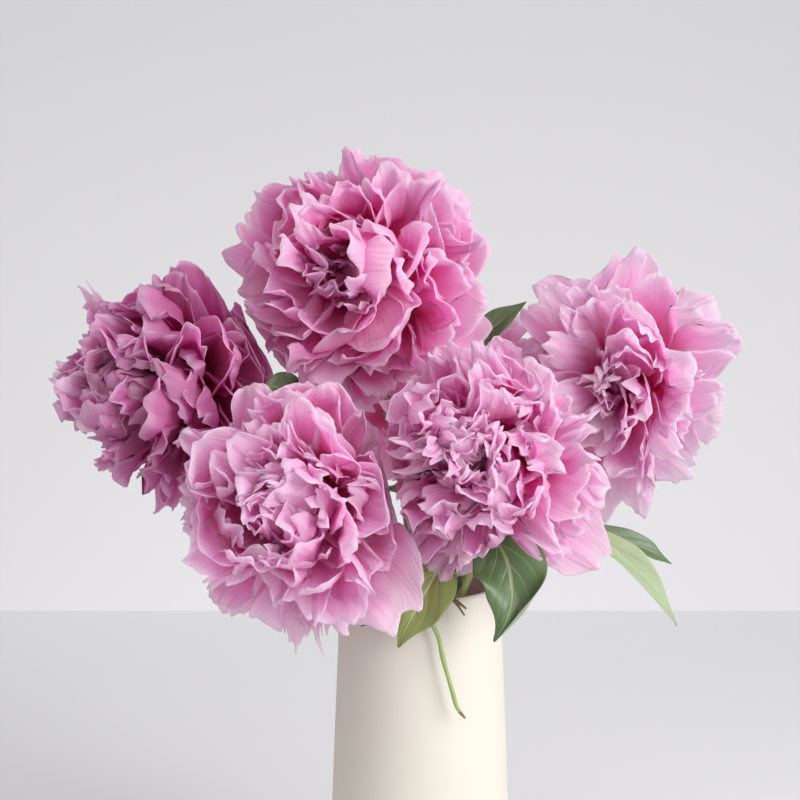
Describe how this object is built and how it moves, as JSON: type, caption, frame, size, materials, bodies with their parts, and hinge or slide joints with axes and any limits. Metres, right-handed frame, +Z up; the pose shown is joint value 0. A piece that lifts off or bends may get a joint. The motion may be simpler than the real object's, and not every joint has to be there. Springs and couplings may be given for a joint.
{
  "type": "peonies in a vase",
  "caption": "Bouquet of double peonies on leafy stems, standing in water in a tall, slightly tapered matt stoneware vase.",
  "frame": {"origin": "centre of the vase's flat base, on the surface it stands on", "axes": "+Z up along the vase, -Y towards the front of the arrangement, +X to its right"},
  "size_m": [0.3954, 0.2613, 0.4727],
  "materials": {
    "stoneware": "matt cream stoneware, very fine grain",
    "water": "clear still water",
    "stem": "fresh green stem, satin",
    "leaf": "fresh peony leaf, satin above and matt below",
    "petal": "soft pink petal, matt, pale towards its edge"
  },
  "bodies": {
    "root": {"vase": "stoneware", "water": "water", "stem_top": "stem", "stem_left": "stem", "stem_front_left": "stem", "stem_front_right": "stem", "stem_right": "stem", "stem_back": "stem", "bare_stalk": "stem", "leaf_front_left": "leaf", "leaf_front_right": "leaf", "leaf_right_pale": "leaf", "leaf_right_dark": "leaf", "leaf_upper": "leaf", "leaf_inner_left": "leaf", "leaf_low_left": "leaf", "leaf_mouth": "leaf", "leaf_back_left": "leaf", "leaf_back_right": "leaf", "leaf_far_left": "leaf", "leaf_far_right": "leaf", "bloom_top": "petal", "bloom_left": "petal", "bloom_front_left": "petal", "bloom_front_right": "petal", "bloom_right": "petal", "bloom_back": "petal"}
  },
  "joints": []
}
